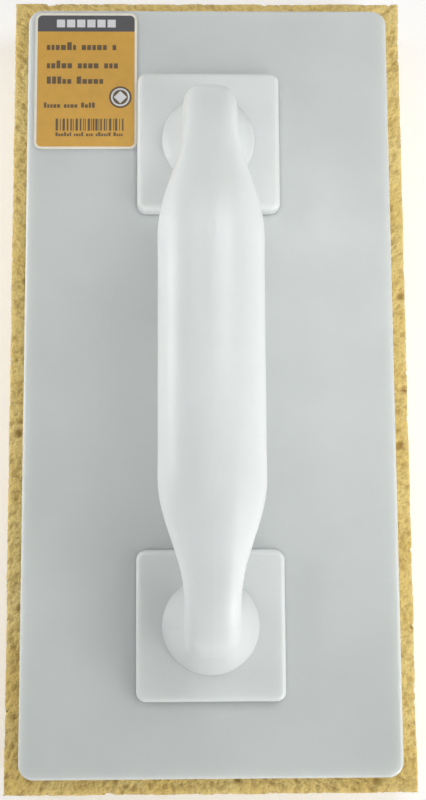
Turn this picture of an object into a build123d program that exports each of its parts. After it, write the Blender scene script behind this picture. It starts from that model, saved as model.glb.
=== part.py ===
"""Sponge float for wiping down freshly grouted tiles: a foam block glued to a
plastic board, with a hollow bow handle screwed to the board from below.

Millimetres, +Z up. The origin is the centre of the sponge's working face.
+Y runs along the board towards the end with the label, +X is across it.
"""

import os
from math import cos, pi, radians, sin

from build123d import *

# Sponge and glue
SPONGE_WIDTH = 140.0
SPONGE_LENGTH = 280.0
SPONGE_THICKNESS = 30.0
SPONGE_CORNER_RADIUS = 1.5
GLUE_THICKNESS = 0.3
GLUE_MARGIN = 1.5  # the glue stops this far inside the board's edge

# Board
PLATE_WIDTH = 127.5
PLATE_LENGTH = 266.5
PLATE_THICKNESS = 8.0
PLATE_CORNER_RADIUS = 5.0
PLATE_EDGE_RADIUS = 1.2

# Handle: square feet with a round boss on each
FOOT_Y = 83.0
FOOT_SIZE = 50.0
FOOT_HEIGHT = 5.5
FOOT_CORNER_RADIUS = 3.5
FOOT_DRAFT = 4.0  # degrees
FOOT_EDGE_RADIUS = 1.6
BOSS_RADIUS = 16.2
BOSS_HEIGHT = 13.0  # over which the boss sweeps in to the leg
BOSS_SWEEP = 1.6  # larger is more hollow
BACK_HEIGHT = 25.0  # the same, on the side away from the fingers
BACK_SWEEP = 2.0

# Handle: legs and grip, which share one bent centre line
GRIP_CENTRE_HEIGHT = 50.5  # above the board
BEND_RADIUS = 20.0
LEG_HALF_WIDTH = 8.6
LEG_HALF_DEPTH = 8.0
GRIP_HALF_WIDTH = 16.3
GRIP_HALF_DEPTH = 13.0
TAPER_START = 38.0  # along the centre line from the middle of the grip
TAPER_END = 72.0
CIRCLE_KAPPA = 0.5523  # Bezier handle length of a true quarter circle
LEG_KAPPA = 0.76  # larger is squarer
BEND_TURNS = (0.0, 22.5, 45.0, 67.5, 90.0)  # degrees, where the bend has a section
BOSS_LEVELS = (0.0, 2.0, 4.0, 6.5, 9.5, 13.0, 17.0, 21.0)  # above the foot
GRIP_STEPS = 8  # even steps from the bend to the middle of the grip

# Handle: hollow inside, closed by a cover along the underside of the grip
WALL = 2.6
CAVITY_FLOOR = 8.0  # above the foot
COVER_HALF_LENGTH = 54.0
COVER_DROP = 5.0  # from the middle of the grip down to the cover's edge
COVER_GAP = 0.2
TONGUE_INSET = 1.5
TONGUE_HEIGHT = 1.8
TONGUE_CLEARANCE = 0.1
RIB_THICKNESS = 1.6
RIB_PLACES = (-48.0, -24.0, 0.0, 24.0, 48.0)
RIB_DEPTH = 4.5  # how far each rib stands in from the wall

# Handle: cored underside of the feet
FOOT_SKIN = 2.4
FOOT_RIM = 2.6
CORE_RADIUS = 13.4
CORE_TOP_RADIUS = 9.5
CORE_RISE = 5.0  # above the foot
PEG_RADIUS = 2.0
PEG_LENGTH = 3.0
PEG_OFFSET = 18.5
PEG_CLEARANCE = 0.15

# Screws
SCREW_OFFSET = 6.5
SCREW_LENGTH = 18.0
SCREW_RADIUS = 2.0
SCREW_CORE_RADIUS = 1.45
SCREW_HEAD_RADIUS = 4.0
SCREW_HEAD_LIP = 0.4
SCREW_PITCH = 1.4
SCREW_TIP_LENGTH = 2.4
THREAD_PROFILE = (  # share of the pitch, radius
    (0.3, SCREW_CORE_RADIUS),
    (0.6, SCREW_RADIUS),
    (0.9, SCREW_CORE_RADIUS),
)
SCREW_SINK = 0.3  # the head stands back from the board's underside
SCREW_CLEARANCE = 0.2
THREAD_CLEARANCE = 0.05
POST_RADIUS = 4.4
POST_RISE = 6.0  # above the foot
DRIVER_SLOT_LENGTH = 4.2
DRIVER_SLOT_WIDTH = 1.1
DRIVER_SLOT_DEPTH = 1.6

# Label
LABEL_WIDTH = 36.2
LABEL_LENGTH = 50.2
LABEL_THICKNESS = 0.15
LABEL_CORNER_RADIUS = 2.6
LABEL_SIDE_GAP = 2.45  # to the board's edges
LABEL_END_GAP = 1.3

# Levels of the stack
PLATE_BOTTOM = SPONGE_THICKNESS + GLUE_THICKNESS
PLATE_TOP = PLATE_BOTTOM + PLATE_THICKNESS
FOOT_TOP = PLATE_TOP + FOOT_HEIGHT
GRIP_Z = PLATE_TOP + GRIP_CENTRE_HEIGHT
GRIP_TOP = GRIP_Z + GRIP_HALF_DEPTH
COVER_TOP = GRIP_Z - COVER_DROP
GROOVE_TOP = COVER_TOP + TONGUE_HEIGHT + TONGUE_CLEARANCE
LEG_TOP = GRIP_Z - BEND_RADIUS
HEAD_FACE = PLATE_BOTTOM + SCREW_SINK
SCREW_END = HEAD_FACE + SCREW_LENGTH

# Places of the repeated features
STRAIGHT_HALF = FOOT_Y - BEND_RADIUS
FOOT_PLACES = [(0.0, side * FOOT_Y) for side in (-1, 1)]
SCREW_PLACES = [(x, y) for _, y in FOOT_PLACES for x in (-SCREW_OFFSET, SCREW_OFFSET)]
PEG_PLACES = [
    (x, y + shift)
    for _, y in FOOT_PLACES
    for x in (-PEG_OFFSET, PEG_OFFSET)
    for shift in (-PEG_OFFSET, PEG_OFFSET)
]


def block(width, length, low, high, corner_radius=0.0):
    """An upright block between two levels, centred on the origin."""
    if corner_radius:
        outline = RectangleRounded(width, length, corner_radius)
    else:
        outline = Rectangle(width, length)
    return extrude(Pos(0, 0, low) * outline, amount=high - low)


def disc(radius, low, high):
    """An upright cylinder between two levels."""
    return extrude(Pos(0, 0, low) * Circle(radius), amount=high - low)


def cone(low_radius, high_radius, low, high):
    return Pos(0, 0, (low + high) / 2) * Cone(low_radius, high_radius, high - low)


def at(places, shape):
    """Copies of a shape, one at each (x, y)."""
    return [Pos(x, y, 0) * shape for x, y in places]


def smooth_step(value, start, end):
    """0 up to start, 1 from end on, with level ends."""
    share = min(max((value - start) / (end - start), 0.0), 1.0)
    return share * share * (3.0 - 2.0 * share)


def between(first, second, share):
    return first + (second - first) * share


# ---------------------------------------------------------------- the bow


def section(plane, half_width, half_depth, kappa):
    """A closed oval of four Bezier quarters, as a face on the plane."""
    right, far = Vector(half_width, 0), Vector(0, half_depth)
    corners = [right, far, -right, -far, right]
    quarters = [
        Bezier(start, start + end * kappa, end + start * kappa, end)
        for start, end in zip(corners, corners[1:])
    ]
    return plane * make_face(Wire(quarters))


def sweep(level, height, power):
    """1 at the foot or lower, curving in to 0 at the height."""
    return (1.0 - min(max(level / height, 0.0), 1.0)) ** power


def boss_stations(hollow):
    """Sections up the boss and the leg: (y, z), turn, half width, half depth, kappa.

    The hollow starts at its own floor and doesn't flare.
    """
    first = CAVITY_FLOOR if hollow else -FOOT_SKIN
    levels = [first] + [level for level in BOSS_LEVELS if level > first + 1.0]
    stations = []
    for level in levels:
        flare = 0.0 if hollow else sweep(level, BOSS_HEIGHT, BOSS_SWEEP)
        back_flare = 0.0 if hollow else sweep(level, BACK_HEIGHT, BACK_SWEEP)
        front = between(LEG_HALF_DEPTH, BOSS_RADIUS, flare)
        back = between(LEG_HALF_DEPTH, BOSS_RADIUS, back_flare)
        centre = (FOOT_Y + (back - front) / 2, FOOT_TOP + level)
        half_width = between(LEG_HALF_WIDTH, BOSS_RADIUS, flare)
        kappa = between(LEG_KAPPA, CIRCLE_KAPPA, flare)
        stations.append((centre, 0.0, half_width, (front + back) / 2, kappa))
    return stations


def grip_stations():
    """The same, round the bend and along the grip to its middle."""
    places = []
    for turn in BEND_TURNS:
        angle = radians(turn)
        y = STRAIGHT_HALF + BEND_RADIUS * cos(angle)
        z = LEG_TOP + BEND_RADIUS * sin(angle)
        places.append(((y, z), turn, STRAIGHT_HALF + BEND_RADIUS * (pi / 2 - angle)))
    for step in range(GRIP_STEPS - 1, -1, -1):
        y = STRAIGHT_HALF * step / GRIP_STEPS
        places.append(((y, GRIP_Z), 90.0, y))
    stations = []
    for centre, turn, along in places:
        share = smooth_step(along, TAPER_START, TAPER_END)
        size = (
            between(GRIP_HALF_WIDTH, LEG_HALF_WIDTH, share),
            between(GRIP_HALF_DEPTH, LEG_HALF_DEPTH, share),
            between(CIRCLE_KAPPA, LEG_KAPPA, share),
        )
        stations.append((centre, turn, *size))
    return stations


def bow(inset=0.0):
    """The whole bent handle as one solid, its surface moved in by `inset`."""
    half = boss_stations(hollow=inset > 0) + grip_stations()
    faces = []
    for side, stations in ((1, half), (-1, half[-2::-1])):
        for (y, z), turn, half_width, half_depth, kappa in stations:
            lean = radians(turn)
            direction = Vector(0, -sin(lean), side * cos(lean))
            plane = Plane(origin=(0, side * y, z), x_dir=(1, 0, 0), z_dir=direction)
            faces.append(section(plane, half_width - inset, half_depth - inset, kappa))
    return loft(faces)


def cover_zone(low, high, gap=0.0):
    """The stretch of the grip that has the cover, between two levels."""
    return block(SPONGE_WIDTH, 2 * (COVER_HALF_LENGTH + gap), low, high)


def grip_ribs(cavity, low, high):
    """Open frames across the hollow, between two levels."""
    window = bow(WALL + RIB_DEPTH)
    sheet = block(2 * GRIP_HALF_WIDTH, RIB_THICKNESS, low, high)
    ribs = at([(0.0, y) for y in RIB_PLACES], sheet)
    return (Part() + ribs) & (cavity - window)


# --------------------------------------------------------------- the feet


def foot_outside():
    outline = RectangleRounded(FOOT_SIZE, FOOT_SIZE, FOOT_CORNER_RADIUS)
    foot = extrude(Pos(0, 0, PLATE_TOP) * outline, amount=FOOT_HEIGHT, taper=FOOT_DRAFT)
    return fillet(foot.edges().group_by(Axis.Z)[-1], FOOT_EDGE_RADIUS)


def foot_core():
    """What is left out under one foot, to keep its walls even."""
    inner = FOOT_SIZE - 2 * FOOT_RIM
    square = block(inner, inner, PLATE_TOP, FOOT_TOP - FOOT_SKIN, FOOT_CORNER_RADIUS / 2)
    well = disc(CORE_RADIUS, PLATE_TOP, FOOT_TOP)
    crown = cone(CORE_RADIUS, CORE_TOP_RADIUS, FOOT_TOP, FOOT_TOP + CORE_RISE)
    return square + well + crown


def foot_ribs():
    """A cross of ribs under one foot, and a ring under the boss."""
    inner = FOOT_SIZE - 2 * FOOT_RIM
    top = FOOT_TOP + CORE_RISE
    cross = block(inner, RIB_THICKNESS, PLATE_TOP, top)
    cross += block(RIB_THICKNESS, inner, PLATE_TOP, top)
    ring = disc(CORE_RADIUS + RIB_THICKNESS, PLATE_TOP, FOOT_TOP)
    ring -= disc(CORE_RADIUS, PLATE_TOP, FOOT_TOP)
    return (cross + ring) & foot_core()


# ------------------------------------------------------------------ pieces


def sponge_pad():
    return block(SPONGE_WIDTH, SPONGE_LENGTH, 0.0, SPONGE_THICKNESS, SPONGE_CORNER_RADIUS)


def glue_film():
    width = PLATE_WIDTH - 2 * GLUE_MARGIN
    length = PLATE_LENGTH - 2 * GLUE_MARGIN
    return block(width, length, SPONGE_THICKNESS, PLATE_BOTTOM, PLATE_CORNER_RADIUS)


def base_plate():
    plate = block(PLATE_WIDTH, PLATE_LENGTH, PLATE_BOTTOM, PLATE_TOP, PLATE_CORNER_RADIUS)
    plate = fillet(plate.edges().group_by(Axis.Z)[-1], PLATE_EDGE_RADIUS)
    head = SCREW_HEAD_RADIUS + SCREW_CLEARANCE
    hole = SCREW_RADIUS + SCREW_CLEARANCE
    seat = HEAD_FACE + SCREW_HEAD_LIP
    sunk_hole = disc(head, PLATE_BOTTOM, seat)
    sunk_hole += cone(head, hole, seat, seat + head - hole)
    sunk_hole += disc(hole, PLATE_BOTTOM, PLATE_TOP)
    peg_hole = disc(
        PEG_RADIUS + PEG_CLEARANCE, PLATE_TOP - PEG_LENGTH - PEG_CLEARANCE, PLATE_TOP
    )
    return plate - at(SCREW_PLACES, sunk_hole) - at(PEG_PLACES, peg_hole)


def handle_body(outside, cavity):
    """The feet, the legs and the grip, open underneath for the cover."""
    inset = bow(TONGUE_INSET - TONGUE_CLEARANCE)
    body = outside & block(SPONGE_WIDTH, SPONGE_LENGTH, FOOT_TOP - FOOT_SKIN, GRIP_TOP)
    body -= cavity
    body -= cover_zone(FOOT_TOP, COVER_TOP + COVER_GAP, COVER_GAP)
    body -= inset & cover_zone(COVER_TOP, GROOVE_TOP, COVER_GAP)
    body += at(FOOT_PLACES, foot_outside())
    body -= at(FOOT_PLACES, foot_core())
    body += at(FOOT_PLACES, foot_ribs())
    body += at(SCREW_PLACES, disc(POST_RADIUS, PLATE_TOP, FOOT_TOP + POST_RISE))
    body += at(PEG_PLACES, disc(PEG_RADIUS, PLATE_TOP - PEG_LENGTH, FOOT_TOP - FOOT_SKIN))
    pilot = disc(SCREW_RADIUS + THREAD_CLEARANCE, PLATE_TOP, SCREW_END + SCREW_CLEARANCE)
    body -= at(SCREW_PLACES, pilot)
    return body + grip_ribs(cavity, GROOVE_TOP, GRIP_TOP)


def grip_cover(outside, cavity):
    """The underside of the grip, with a tongue that stands up inside the body."""
    cover = (outside - cavity) & cover_zone(FOOT_TOP, COVER_TOP)
    cover += (bow(TONGUE_INSET) - cavity) & cover_zone(COVER_TOP, COVER_TOP + TONGUE_HEIGHT)
    return cover + grip_ribs(cavity, FOOT_TOP, COVER_TOP)


def driver_slots():
    """The crossed recess in a screw's head."""
    top = HEAD_FACE + DRIVER_SLOT_DEPTH
    slot = block(DRIVER_SLOT_LENGTH, DRIVER_SLOT_WIDTH, HEAD_FACE, top)
    return slot + block(DRIVER_SLOT_WIDTH, DRIVER_SLOT_LENGTH, HEAD_FACE, top)


def foot_screw():
    """A countersunk self-tapping screw, its head's face down, on the Z axis."""
    seat = HEAD_FACE + SCREW_HEAD_LIP
    neck = seat + SCREW_HEAD_RADIUS - SCREW_CORE_RADIUS
    points = [(0, HEAD_FACE), (SCREW_HEAD_RADIUS, HEAD_FACE), (SCREW_HEAD_RADIUS, seat)]
    points.append((SCREW_CORE_RADIUS, neck))
    turns = int((SCREW_END - SCREW_TIP_LENGTH - neck) / SCREW_PITCH)
    for turn in range(turns):
        start = neck + turn * SCREW_PITCH
        points += [(radius, start + share * SCREW_PITCH) for share, radius in THREAD_PROFILE]
    points += [(SCREW_CORE_RADIUS, SCREW_END - SCREW_TIP_LENGTH), (0, SCREW_END)]
    profile = make_face(Polyline(*points, close=True))
    return revolve(Plane.XZ * profile, Axis.Z) - driver_slots()


def size_label():
    sticker = block(
        LABEL_WIDTH, LABEL_LENGTH, PLATE_TOP, PLATE_TOP + LABEL_THICKNESS, LABEL_CORNER_RADIUS
    )
    x = -PLATE_WIDTH / 2 + LABEL_SIDE_GAP + LABEL_WIDTH / 2
    y = PLATE_LENGTH / 2 - LABEL_END_GAP - LABEL_LENGTH / 2
    return Pos(x, y, 0) * sticker


def main():
    outside, cavity = bow(), bow(WALL)
    pieces = {
        "sponge_pad": sponge_pad(),
        "glue_film": glue_film(),
        "base_plate": base_plate(),
        "handle_body": handle_body(outside, cavity),
        "grip_cover": grip_cover(outside, cavity),
        "size_label": size_label(),
    }
    for number, screw in enumerate(at(SCREW_PLACES, foot_screw()), start=1):
        pieces[f"foot_screw_{number}"] = screw
    os.makedirs("parts", exist_ok=True)
    for name, piece in pieces.items():
        export_step(piece, f"parts/{name}.step")


main()
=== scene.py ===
"""Looks for a sponge float: porous foam, moulded plastic, a printed label and soft studio light.

Everything is in metres in the frame's own axes: +Z up, +Y towards the end with the label,
and the sponge's working face rests on z = 0.
"""

import math

import bpy
import numpy as np
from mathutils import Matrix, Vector, kdtree


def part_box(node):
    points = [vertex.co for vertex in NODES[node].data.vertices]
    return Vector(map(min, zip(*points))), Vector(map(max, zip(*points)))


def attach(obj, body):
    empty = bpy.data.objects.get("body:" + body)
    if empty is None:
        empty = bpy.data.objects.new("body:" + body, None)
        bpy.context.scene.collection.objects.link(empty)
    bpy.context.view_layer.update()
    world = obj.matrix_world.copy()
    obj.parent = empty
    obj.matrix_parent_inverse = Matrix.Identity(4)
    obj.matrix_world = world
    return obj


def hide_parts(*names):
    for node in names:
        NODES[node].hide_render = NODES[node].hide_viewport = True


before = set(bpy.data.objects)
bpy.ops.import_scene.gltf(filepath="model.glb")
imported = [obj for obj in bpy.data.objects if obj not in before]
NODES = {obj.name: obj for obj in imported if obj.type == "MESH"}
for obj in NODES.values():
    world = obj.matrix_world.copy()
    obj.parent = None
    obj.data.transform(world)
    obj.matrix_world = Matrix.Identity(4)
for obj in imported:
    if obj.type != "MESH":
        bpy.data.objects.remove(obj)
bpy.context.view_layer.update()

MM = 0.001
SEED = 20

# ------------------------------------------------------------------ settings

# Foam skin
FOAM_STEP = 0.8 * MM
FOAM_RIM = 10.0 * MM  # of the top face that is modelled in detail: the rest is under the board
FOAM_EDGE = 1.0 * MM  # radius of the rounded edges
FOAM_WAVE = 0.5 * MM  # how far the cut sides wander
WAVE_COUNT = 12
WAVE_RATE = 420.0  # largest, in radians per metre
FOAM_GRAIN = 0.12 * MM  # roughness of the cut from point to point
PORES = (  # per square centimetre, smallest and largest radius
    (0.3, 1.0 * MM, 1.6 * MM),
    (3.0, 0.7 * MM, 1.0 * MM),
    (20.0, 0.45 * MM, 0.75 * MM),
)
PORE_DEPTH = 1.9 * MM
PORE_FADE = 2.0 * MM  # over which the pores die out under the board
PORE_SHADE_GAIN = 1.4  # painted shade: how soon a pore is painted as dark as it gets

# Label print: places are from the label's left and top edges
INK = 0.02 * MM
PRINT_BORDER = 0.9 * MM  # of bare paper round the print
PRINT_CORNER = 1.7 * MM
HEADER_HEIGHT = 6.0 * MM
TILE_COUNT = 6
TILE_SIZE = 2.9 * MM
TILE_GAP = 0.7 * MM
TEXT_ROWS = (  # left, top, height, length
    (4.2 * MM, 10.9 * MM, 2.9 * MM, 25.2 * MM),
    (4.3 * MM, 17.7 * MM, 2.9 * MM, 25.5 * MM),
    (4.3 * MM, 23.6 * MM, 2.7 * MM, 21.6 * MM),
    (3.4 * MM, 33.2 * MM, 1.9 * MM, 18.7 * MM),
    (7.6 * MM, 44.1 * MM, 1.4 * MM, 23.6 * MM),
)
STAMP_CENTRE = (30.3 * MM, 31.2 * MM)
STAMP_DISCS = (4.0 * MM, 3.3 * MM, 2.7 * MM)  # dark, pale, dark
STAMP_SQUARE = 2.3 * MM  # half its diagonal
BARCODE_LEFT = 7.6 * MM
BARCODE_TOP = 39.1 * MM
BARCODE_HEIGHT = 4.4 * MM
BARCODE_WIDTH = 23.8 * MM
BARCODE_MODULE = 0.34 * MM
BARCODE_INK = 0.8  # share of each module that is printed

# Small print, as shares of its row's height
BLOCK_WIDTHS = (0.35, 0.6)
BLOCK_HEIGHTS = (0.65, 0.65, 1.0)
BLOCK_GAP = 0.16
WORD_GAP = 0.55

# Camera
CAMERA_PLACE = (-0.0060, -0.0593, 0.4461)
CAMERA_TURN = (7.28, -0.97, -0.31)  # degrees
CAMERA_LENS = 54.0  # millimetres
CAMERA_SENSOR = 36.0

# Round floor that curves up into a low wall
STAGE_RADIUS = 3.0
STAGE_CURVE = 0.8
STAGE_HEIGHT = 1.4
STAGE_STEPS = 8
STAGE_SIDES = 96

# Soft boxes: name, place, side, power in watts
LIGHTS = (
    ("overhead_right", (0.15, 0.15, 0.45), 0.20, 0.66),
    ("overhead", (0.0, 0.0, 0.60), 0.20, 0.27),
    ("overhead_left", (-0.20, 0.20, 0.60), 0.20, 0.36),
    ("right", (0.30, -0.10, 0.30), 0.20, 0.26),
    ("left_low", (-0.40, 0.10, 0.14), 0.20, 0.62),
    ("right_low", (0.50, -0.50, 0.14), 0.20, 0.90),
    ("front_right", (0.75, -0.75, 0.50), 0.80, 4.0),
    ("front_left", (-0.75, -0.75, 0.50), 0.80, 2.0),
)
WORLD_STRENGTH = 0.05

# Colours
BOARD_WHITE = (0.635, 0.665, 0.655)
HANDLE_WHITE = (0.74, 0.77, 0.76)
FOAM_WALLS = ((0.80, 0.57, 0.17), (0.90, 0.70, 0.27))
# Painted shade: the brown the deepest pores are painted, standing in for the shade inside them
FOAM_PORE_SHADE = (0.46, 0.29, 0.08, 1.0)
GLUE = ((0.62, 0.54, 0.33), (0.76, 0.68, 0.46))
LABEL_PAPER = (0.86, 0.83, 0.72)
HEADER_INK = (0.10, 0.10, 0.105)
FIELD_INK = (0.68, 0.38, 0.065)
DARK_INK = (0.14, 0.095, 0.05)
PALE_INK = (0.74, 0.75, 0.76)

# ------------------------------------------------------------------- helpers


class Shader:
    """A Principled material, with short helpers for its nodes."""

    def __init__(self, name, **sockets):
        self.material = bpy.data.materials.new(name)
        self.material.use_nodes = True
        self.tree = self.material.node_tree
        self.surface = self.tree.nodes["Principled BSDF"]
        for socket, value in sockets.items():
            self.surface.inputs[socket.replace("_", " ")].default_value = value
        self.place = self.node("ShaderNodeTexCoord").outputs["Object"]

    def node(self, kind, inputs=None, **settings):
        """A new node, its inputs linked or set, and its settings made."""
        made = self.tree.nodes.new(kind)
        for setting, value in settings.items():
            setattr(made, setting, value)
        for socket, value in (inputs or {}).items():
            if isinstance(value, bpy.types.NodeSocket):
                self.tree.links.new(value, made.inputs[socket])
            else:
                made.inputs[socket].default_value = value
        return made

    def noise(self, scale, detail=4.0, roughness=0.55):
        inputs = {
            "Vector": self.place,
            "Scale": scale,
            "Detail": detail,
            "Roughness": roughness,
        }
        return self.node("ShaderNodeTexNoise", inputs).outputs["Fac"]

    def cells(self, scale):
        """The distance to the nearest of many scattered points."""
        inputs = {"Vector": self.place, "Scale": scale}
        return self.node("ShaderNodeTexVoronoi", inputs).outputs["Distance"]

    def ramp(self, value, *stops):
        """A colour for each value, through (position, colour) stops."""
        made = self.node("ShaderNodeValToRGB", {"Fac": value})
        elements = made.color_ramp.elements
        while len(elements) < len(stops):
            elements.new(0.5)
        for element, (position, colour) in zip(elements, stops):
            element.position = position
            element.color = (*colour, 1.0)
        return made.outputs["Color"]

    def span(self, value, start, end, low, high):
        """The value's stretch from start to end, as low to high."""
        inputs = {
            "Value": value,
            "From Min": start,
            "From Max": end,
            "To Min": low,
            "To Max": high,
        }
        return self.node("ShaderNodeMapRange", inputs).outputs["Result"]

    def mix(self, share, first, second, blend="MIX"):
        inputs = {0: share, 6: first, 7: second}
        made = self.node("ShaderNodeMix", inputs, data_type="RGBA", blend_type=blend)
        return made.outputs[2]

    def bump(self, height, distance, strength=1.0, under=None):
        inputs = {"Height": height, "Distance": distance, "Strength": strength}
        if under:
            inputs["Normal"] = under
        return self.node("ShaderNodeBump", inputs).outputs["Normal"]

    def drive(self, **sockets):
        """Links values to the surface's sockets."""
        for socket, value in sockets.items():
            self.tree.links.new(value, self.surface.inputs[socket.replace("_", " ")])


def grey(value):
    return (value, value, value)


def scaled(colour, factor):
    return tuple(channel * factor for channel in colour)


def add_piece(name, vertices, faces, material):
    """A new mesh piece that rides with the float."""
    mesh = bpy.data.meshes.new(name)
    mesh.from_pydata(np.asarray(vertices).tolist(), [], faces)
    mesh.materials.append(material)
    piece = bpy.data.objects.new(name, mesh)
    bpy.context.scene.collection.objects.link(piece)
    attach(piece, "root")
    return piece


def paint(material, *nodes):
    """Gives the material to these CAD nodes."""
    for name in nodes:
        slots = NODES[name].material_slots
        if not slots:
            NODES[name].data.materials.append(material)
        for slot in slots:
            slot.material = material


# ----------------------------------------------------------------- materials


def moulded_plastic(name, colour, roughness, glow_depth):
    """Milky moulded plastic: satin, faintly cloudy, glowing at its edges, lightly scuffed."""
    made = Shader(
        name,
        IOR=1.5,
        Subsurface_Weight=0.9,
        Subsurface_Scale=glow_depth,
        Subsurface_Radius=(1.0, 1.0, 0.9),
    )
    cloud = made.noise(22.0, 5.0, 0.6)
    body = made.ramp(cloud, (0.30, scaled(colour, 0.96)), (0.70, scaled(colour, 1.03)))
    speck = made.ramp(made.noise(900.0, 2.0), (0.70, grey(1.0)), (0.80, grey(0.93)))
    body = made.mix(1.0, body, speck, "MULTIPLY")
    made.drive(Base_Color=body)
    smear = made.noise(70.0, 4.0)
    made.drive(Roughness=made.span(smear, 0.3, 0.7, roughness - 0.05, roughness + 0.07))
    grain = made.bump(made.noise(1600.0, 2.0), 0.02 * MM, 0.6)
    made.drive(Normal=made.bump(made.noise(60.0, 2.0), 0.3 * MM, 0.10, grain))
    return made.material


def cut_foam():
    """Open-celled foam: ochre on the cell walls, with painted shade that is darker down in the
    pores and in small pits.
    """
    made = Shader("cut_foam", Roughness=0.95, Sheen_Weight=0.2, Sheen_Roughness=0.6)
    depth = made.node("ShaderNodeAttribute", attribute_name="pore").outputs["Fac"]
    patch = made.noise(45.0, 4.0)
    walls = made.ramp(patch, (0.32, FOAM_WALLS[0]), (0.68, FOAM_WALLS[1]))
    cell = made.cells(1100.0)
    # Painted shade: darker spots where the cell bump sinks into small pits.
    pit_shade = made.ramp(cell, (0.15, grey(0.82)), (0.55, grey(1.0)))
    walls = made.mix(1.0, walls, pit_shade, "MULTIPLY")
    # Painted shade: the deeper a pore, the darker it is painted.
    pore_shade = made.span(depth, 0.0, 1.0, 0.0, 0.85)
    made.drive(Base_Color=made.mix(pore_shade, walls, FOAM_PORE_SHADE))
    fuzz = made.bump(made.noise(2600.0, 3.0, 0.7), 0.15 * MM, 0.6)
    made.drive(Normal=made.bump(cell, 0.45 * MM, 0.8, fuzz))
    return made.material


def printed_paper(name, colour, roughness=0.42):
    """Ink or bare coating on a glossy paper label, slightly uneven."""
    made = Shader(name)
    fade = made.noise(260.0, 5.0)
    made.drive(Base_Color=made.ramp(fade, (0.35, scaled(colour, 0.93)), (0.68, colour)))
    made.drive(Roughness=made.span(made.noise(400.0), 0.3, 0.7, roughness - 0.05, roughness + 0.08))
    made.drive(Normal=made.bump(made.noise(1800.0, 3.0), 0.01 * MM, 0.5))
    return made.material


def zinc_steel():
    made = Shader("zinc_steel", Metallic=1.0)
    made.drive(Base_Color=made.ramp(made.noise(500.0), (0.3, grey(0.50)), (0.7, grey(0.68))))
    made.drive(Roughness=made.span(made.noise(900.0), 0.3, 0.7, 0.28, 0.44))
    made.drive(Normal=made.bump(made.noise(1500.0), 0.01 * MM, 0.5))
    return made.material


def dried_glue():
    made = Shader("dried_glue", Roughness=0.5)
    made.drive(Base_Color=made.ramp(made.noise(90.0), (0.3, GLUE[0]), (0.7, GLUE[1])))
    made.drive(Normal=made.bump(made.noise(500.0), 0.1 * MM, 0.5))
    return made.material


# --------------------------------------------------------------------- foam


def edge_profile(low_z, high_z):
    """(inset, height) down the outside: over the top rim, round the edge, down the side."""
    rim = np.arange(FOAM_RIM, FOAM_EDGE, -FOAM_STEP)
    side = np.arange(high_z - FOAM_EDGE, low_z + FOAM_EDGE, -FOAM_STEP)
    turns = np.radians((30.0, 60.0))
    points = [(inset, high_z) for inset in rim]
    points += [
        (FOAM_EDGE * (1 - math.sin(turn)), high_z - FOAM_EDGE * (1 - math.cos(turn)))
        for turn in turns
    ]
    points += [(0.0, height) for height in side]
    points += [
        (FOAM_EDGE * (1 - math.cos(turn)), low_z + FOAM_EDGE * (1 - math.sin(turn)))
        for turn in turns
    ]
    points.append((FOAM_EDGE, low_z))
    return points


def rectangle_walk(columns, rows):
    """Grid indices round a rectangle's border, anticlockwise from its lowest corner."""
    walk = [(i, 0) for i in range(columns)]
    walk += [(columns, j) for j in range(rows)]
    walk += [(i, rows) for i in range(columns, 0, -1)]
    walk += [(0, j) for j in range(rows, 0, -1)]
    return walk


def foam_skin(low, high):
    """Vertices and faces of the pad: loops over the rim and the sides, and a coarser grid below."""
    columns, rows = (2 * round((high[i] - low[i]) / FOAM_STEP / 2) for i in (0, 1))
    centre, half = (low + high) / 2, (high - low) / 2
    walk = np.array(rectangle_walk(columns, rows), float)
    unit = walk / (columns, rows) * 2.0 - 1.0
    loops = []
    for inset, height in edge_profile(low[2], high[2]):
        flat = centre[:2] + unit * (half[:2] - inset)
        loops.append(np.column_stack([flat, np.full(len(flat), height)]))
    count = len(walk)
    vertices = np.concatenate(loops)
    faces = [tuple(range(count))]
    for level in range(len(loops) - 1):
        upper, lower = level * count, (level + 1) * count
        for i in range(count):
            j = (i + 1) % count
            faces.append((upper + i, lower + i, lower + j, upper + j))

    # The underside shares every second point of the last loop.
    last = (len(loops) - 1) * count
    index = {}
    for i, (column, row) in enumerate(walk.astype(int)):
        if column % 2 == 0 and row % 2 == 0:
            index[column // 2, row // 2] = last + i
    inner = []
    half_columns, half_rows = columns // 2, rows // 2
    for row in range(1, half_rows):
        for column in range(1, half_columns):
            index[column, row] = len(vertices) + len(inner)
            share = np.array((column / half_columns, row / half_rows)) * 2.0 - 1.0
            inner.append((*(centre[:2] + share * (half[:2] - FOAM_EDGE)), low[2]))
    middle = {}
    for i, (column, row) in enumerate(walk.astype(int)):
        if column % 2 or row % 2:
            middle[column, row] = last + i
    for row in range(half_rows):
        for column in range(half_columns):
            corners = ((column, row), (column, row + 1), (column + 1, row + 1), (column + 1, row))
            ring = []
            for here, there in zip(corners, corners[1:] + corners[:1]):
                ring.append(index[here])
                between = (here[0] + there[0], here[1] + there[1])
                if between in middle:
                    ring.append(middle[between])
            faces.append(tuple(ring))
    return np.concatenate([vertices, np.array(inner)]), faces


def scattered(low, high, per_area, rng):
    """Random points, even by area, on the faces of a box."""
    size = high - low
    points = []
    for axis in range(3):
        others = [i for i in range(3) if i != axis]
        count = round(per_area * size[others[0]] * size[others[1]])
        for level in (low[axis], high[axis]):
            here = low + rng.random((count, 3)) * size
            here[:, axis] = level
            points.append(here)
    return np.concatenate(points)


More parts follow.
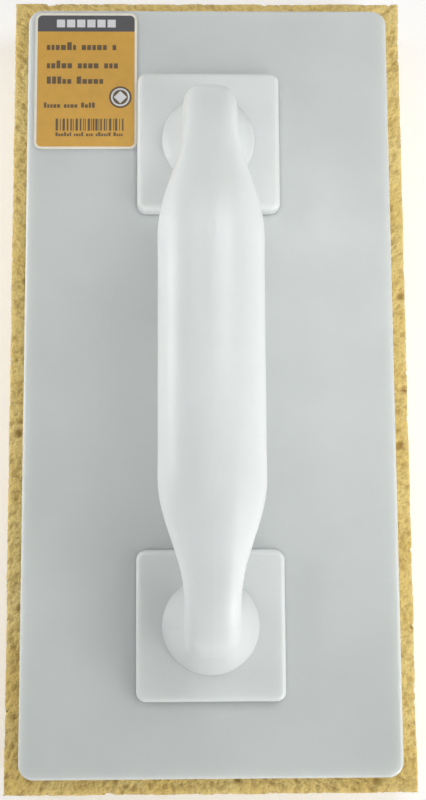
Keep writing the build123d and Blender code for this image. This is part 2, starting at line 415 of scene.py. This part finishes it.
def pore_depths(vertices, inward, low, high):
    """How far each vertex sinks into the pores round it."""
    rng = np.random.default_rng(SEED)
    tree = kdtree.KDTree(len(vertices))
    for i, vertex in enumerate(vertices):
        tree.insert(vertex, i)
    tree.balance()
    depths = np.zeros(len(vertices))
    square_cm = 0.01**2
    for per_cm, smallest, largest in PORES:
        for centre in scattered(low, high, per_cm / square_cm, rng):
            radius = rng.uniform(smallest, largest)
            found = [i for _, i, _ in tree.find_range(centre, radius)]
            if not found:
                continue
            away = vertices[found] - centre
            along = np.einsum("ij,ij->i", away, inward[found])
            inside = np.maximum(along**2 - np.einsum("ij,ij->i", away, away) + radius**2, 0.0)
            depths[found] = np.maximum(depths[found], np.sqrt(inside) - along)
    return np.minimum(depths, PORE_DEPTH)


def foam_pad():
    """The foam pad with real pores and wavy cut sides, in place of its plain block."""
    low, high = (np.array(corner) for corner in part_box("sponge_pad"))
    vertices, faces = foam_skin(low, high)
    pad = add_piece("sponge_foam", vertices, faces, cut_foam())
    mesh = pad.data
    normals = np.zeros(len(vertices) * 3)
    mesh.vertex_normals.foreach_get("vector", normals)
    inward = -normals.reshape(-1, 3)

    covered = np.minimum(vertices[:, :2] - low[:2], high[:2] - vertices[:, :2]).min(axis=1)
    bare = np.clip((FOAM_RIM - covered) / PORE_FADE, 0.0, 1.0)
    bare[vertices[:, 2] < high[2] - FOAM_EDGE / 2] = 1.0
    depths = pore_depths(vertices, inward, low, high) * bare

    rng = np.random.default_rng(SEED + 1)
    waves = rng.uniform(-1.0, 1.0, (WAVE_COUNT, 3)) * WAVE_RATE
    phases = rng.uniform(0.0, 2 * math.pi, WAVE_COUNT)
    wander = np.mean([np.sin(vertices @ w + p) for w, p in zip(waves, phases)], axis=0)
    wander = np.clip(0.5 + wander, 0.0, 1.0) * FOAM_WAVE
    wander += rng.random(len(vertices)) * FOAM_GRAIN
    side = np.abs(inward[:, :2]).max(axis=1)
    moved = vertices + inward * ((depths + wander * side * bare)[:, None])
    moved = np.clip(moved, low, high)
    mesh.vertices.foreach_set("co", moved.ravel())
    # Painted shade: how dark each point is painted, by how deep it sits in its pore.
    share = mesh.attributes.new("pore", "FLOAT", "POINT")
    share.data.foreach_set("value", np.clip(depths / PORE_DEPTH * PORE_SHADE_GAIN, 0.0, 1.0))
    mesh.shade_smooth()
    mesh.update()
    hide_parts("sponge_pad")


# --------------------------------------------------------------------- label


def prism(outline, bottom, top):
    """Vertices and faces of an upright prism over an anticlockwise outline."""
    count = len(outline)
    vertices = [(x, y, z) for z in (bottom, top) for x, y in outline]
    faces = [tuple(range(count - 1, -1, -1)), tuple(range(count, 2 * count))]
    for i in range(count):
        j = (i + 1) % count
        faces.append((i, j, count + j, count + i))
    return vertices, faces


def box_outline(left, top, width, height, top_radius=0.0, bottom_radius=0.0, steps=6):
    """A rectangle from its upper left corner, anticlockwise, with its corners rounded."""
    right, bottom = left + width, top - height
    corners = (
        (left, bottom, 1, 1, 180, bottom_radius),
        (right, bottom, -1, 1, 270, bottom_radius),
        (right, top, -1, -1, 0, top_radius),
        (left, top, 1, -1, 90, top_radius),
    )
    points = []
    for x, y, across, up, start, radius in corners:
        for step in range(steps + 1 if radius else 1):
            turn = math.radians(start + 90 * step / steps)
            points.append(
                (
                    x + radius * (across + math.cos(turn)),
                    y + radius * (up + math.sin(turn)),
                )
            )
    return points


def round_outline(x, y, radius, steps):
    turns = [2 * math.pi * step / steps for step in range(steps)]
    return [(x + radius * math.cos(turn), y + radius * math.sin(turn)) for turn in turns]


def text_blocks(left, top, height, length, rng):
    """Plain blocks that stand for a row of small print, in words of a few blocks each."""
    blocks = []
    x = left
    while x < left + length:
        for _ in range(rng.integers(3, 8)):
            width = rng.uniform(*BLOCK_WIDTHS) * height
            tall = height * rng.choice(BLOCK_HEIGHTS)
            if x + width > left + length:
                break
            blocks.append(box_outline(x, top - height + tall, width, tall))
            x += width + BLOCK_GAP * height
        x += WORD_GAP * height
    return blocks


def bar_code(left, top, rng):
    bars = []
    x = left
    while x < left + BARCODE_WIDTH:
        width = rng.integers(1, 4) * BARCODE_MODULE * BARCODE_INK
        bars.append(box_outline(x, top, width, BARCODE_HEIGHT))
        x += width + rng.integers(1, 3) * BARCODE_MODULE
    return bars


def printed(name, layered_outlines, material):
    """One ink of the label: thin prisms over (outline, layer) pairs."""
    paper_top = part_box("size_label")[1].z
    vertices, faces = [], []
    for outline, layer in layered_outlines:
        base = paper_top + layer * INK
        some, sides = prism(outline, base, base + INK)
        faces += [tuple(len(vertices) + i for i in side) for side in sides]
        vertices += some
    return add_piece(name, vertices, faces, material)


def label_print():
    """A header with a row of tiles, rows of stand-in text, a stamp and a bar code."""
    low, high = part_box("size_label")
    left, top = low.x, high.y
    rng = np.random.default_rng(SEED + 2)
    field_left, field_top = left + PRINT_BORDER, top - PRINT_BORDER
    field_width = high.x - low.x - 2 * PRINT_BORDER
    field_height = high.y - low.y - 2 * PRINT_BORDER
    header = box_outline(
        field_left, field_top, field_width, HEADER_HEIGHT, top_radius=PRINT_CORNER
    )
    field = box_outline(
        field_left,
        field_top - HEADER_HEIGHT,
        field_width,
        field_height - HEADER_HEIGHT,
        bottom_radius=PRINT_CORNER,
    )
    row = TILE_COUNT * (TILE_SIZE + TILE_GAP) - TILE_GAP
    first = field_left + (field_width - row) / 2
    tile_top = field_top - (HEADER_HEIGHT - TILE_SIZE) / 2
    tiles = [
        box_outline(first + i * (TILE_SIZE + TILE_GAP), tile_top, TILE_SIZE, TILE_SIZE)
        for i in range(TILE_COUNT)
    ]
    text = []
    for row_left, row_top, height, length in TEXT_ROWS:
        text += text_blocks(left + row_left, top - row_top, height, length, rng)
    text += bar_code(left + BARCODE_LEFT, top - BARCODE_TOP, rng)
    stamp_x, stamp_y = left + STAMP_CENTRE[0], top - STAMP_CENTRE[1]
    outer, pale, inner = (round_outline(stamp_x, stamp_y, radius, 40) for radius in STAMP_DISCS)
    square = round_outline(stamp_x, stamp_y, STAMP_SQUARE, 4)
    dark = [(outline, 1) for outline in text] + [(outer, 1), (inner, 3)]
    light = [(outline, 1) for outline in tiles] + [(pale, 2), (square, 4)]
    printed("label_header", [(header, 0)], printed_paper("header_ink", HEADER_INK))
    printed("label_field", [(field, 0)], printed_paper("field_ink", FIELD_INK))
    printed("label_dark_print", dark, printed_paper("dark_ink", DARK_INK))
    printed("label_pale_print", light, printed_paper("pale_ink", PALE_INK))


# --------------------------------------------------------------------- stage


def add_stage():
    """A pale round floor that curves up into a low wall, like a studio sweep."""
    profile = [(STAGE_RADIUS - STAGE_CURVE, 0.0)]
    for step in range(1, STAGE_STEPS + 1):
        turn = math.pi / 2 * step / STAGE_STEPS
        out = STAGE_RADIUS - STAGE_CURVE * (1.0 - math.sin(turn))
        profile.append((out, STAGE_CURVE * (1.0 - math.cos(turn))))
    profile.append((STAGE_RADIUS, STAGE_HEIGHT))
    mesh = bpy.data.meshes.new("stage")
    vertices = []
    for out, height in profile:
        vertices += [(x, y, height) for x, y in round_outline(0.0, 0.0, out, STAGE_SIDES)]
    faces = [tuple(range(STAGE_SIDES))]
    for ring in range(len(profile) - 1):
        for i in range(STAGE_SIDES):
            j = (i + 1) % STAGE_SIDES
            low, high = ring * STAGE_SIDES, (ring + 1) * STAGE_SIDES
            faces.append((low + i, high + i, high + j, low + j))
    mesh.from_pydata(vertices, [], faces)
    mesh.shade_smooth()
    stage = bpy.data.objects.new("stage", mesh)
    bpy.context.scene.collection.objects.link(stage)
    made = Shader("pale_stage", Roughness=0.8, Specular_IOR_Level=0.2, Emission_Strength=0.3)
    made.surface.inputs["Emission Color"].default_value = (1.0, 1.0, 1.0, 1.0)
    made.surface.inputs["Base Color"].default_value = (0.8, 0.8, 0.8, 1.0)
    mesh.materials.append(made.material)


def add_light(name, place, size, power):
    """A square soft box aimed at the float, which the camera doesn't see."""
    data = bpy.data.lights.new(name, "AREA")
    data.shape = "SQUARE"
    data.size = size
    data.energy = power
    light = bpy.data.objects.new(name, data)
    light.location = place
    light.rotation_euler = Vector(place).to_track_quat("Z", "Y").to_euler()
    light.visible_camera = False
    bpy.context.scene.collection.objects.link(light)


def add_world(strength):
    world = bpy.data.worlds.new("studio")
    world.use_nodes = True
    background = world.node_tree.nodes["Background"]
    background.inputs["Color"].default_value = (1.0, 1.0, 1.0, 1.0)
    background.inputs["Strength"].default_value = strength
    bpy.context.scene.world = world


def add_camera():
    data = bpy.data.cameras.new("camera")
    data.lens = CAMERA_LENS
    data.sensor_width = CAMERA_SENSOR
    camera = bpy.data.objects.new("camera", data)
    camera.location = CAMERA_PLACE
    camera.rotation_euler = [math.radians(turn) for turn in CAMERA_TURN]
    bpy.context.scene.collection.objects.link(camera)
    bpy.context.scene.camera = camera


# ---------------------------------------------------------------------- build

add_camera()
add_stage()
add_world(WORLD_STRENGTH)
for name, place, size, power in LIGHTS:
    add_light(name, place, size, power)
bpy.context.scene.view_settings.view_transform = "Standard"

paint(moulded_plastic("board_plastic", BOARD_WHITE, 0.38, 5.0 * MM), "base_plate")
paint(
    moulded_plastic("handle_plastic", HANDLE_WHITE, 0.34, 3.0 * MM), "handle_body", "grip_cover"
)
paint(printed_paper("label_paper", LABEL_PAPER), "size_label")
paint(dried_glue(), "glue_film")
paint(zinc_steel(), *[name for name in NODES if name.startswith("foot_screw")])
foam_pad()
label_print()
